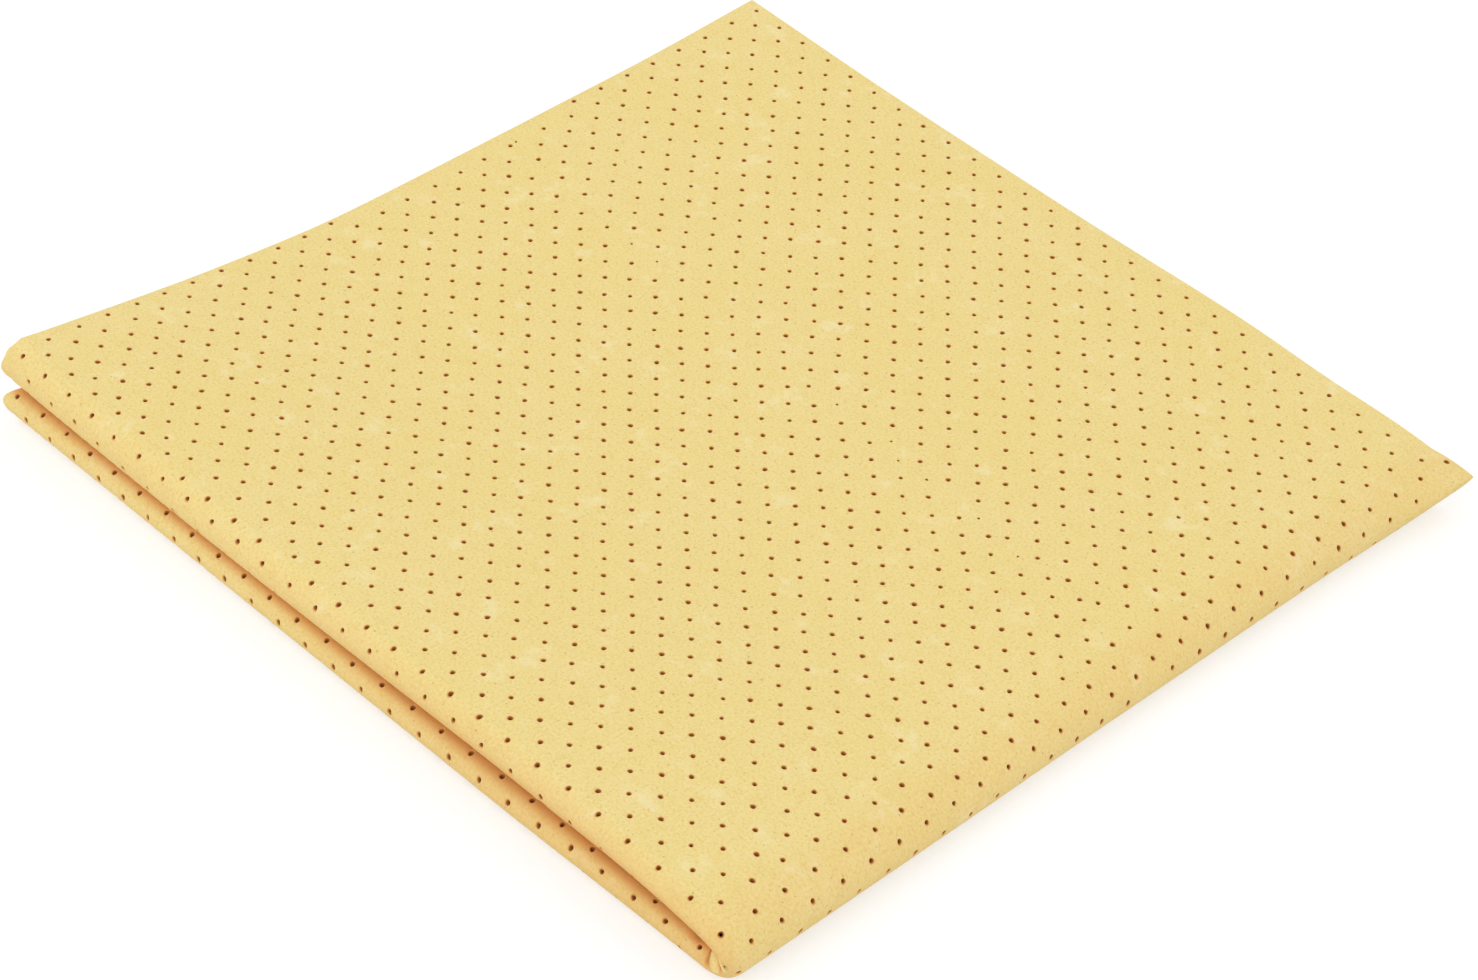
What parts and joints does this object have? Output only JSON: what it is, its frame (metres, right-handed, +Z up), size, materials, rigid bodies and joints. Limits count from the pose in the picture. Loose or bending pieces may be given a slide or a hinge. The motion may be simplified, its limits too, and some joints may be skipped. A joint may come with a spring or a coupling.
{
  "type": "synthetic cleaning cloth",
  "caption": "Square perforated synthetic chamois wiping cloth, folded in half twice, with rounded fold lips, nested wraps at the second fold and a loose open corner.",
  "frame": {"origin": "centre of the folded cloth's outline, on the table under its bottom ply", "axes": "+Z up; +X towards the second fold, where all four plies wrap round; -Y towards the two lips of the first fold; +Y and -X are the open cut edges"},
  "size_m": [0.1894, 0.189, 0.0235],
  "materials": {
    "chamois": "matte, finely pebbled, soft"
  },
  "bodies": {
    "lower_half": {"bottom_inner_quarter": "chamois", "bottom_outer_quarter": "chamois", "lower_first_fold": "chamois", "outer_second_fold": "chamois", "inner_second_fold": "chamois", "crossing_corner": "chamois"},
    "upper_half": {"top_outer_quarter": "chamois", "top_inner_quarter": "chamois", "upper_first_fold": "chamois"}
  },
  "joints": [
    {"name": "second_fold", "type": "hinge", "parent": "lower_half", "child": "upper_half", "pos_m": [0.09409, 0, 0.0051], "axis": [0, 1, 0], "range_deg": [0, 175], "deforming": ["outer_second_fold", "inner_second_fold", "crossing_corner"]}
  ]
}
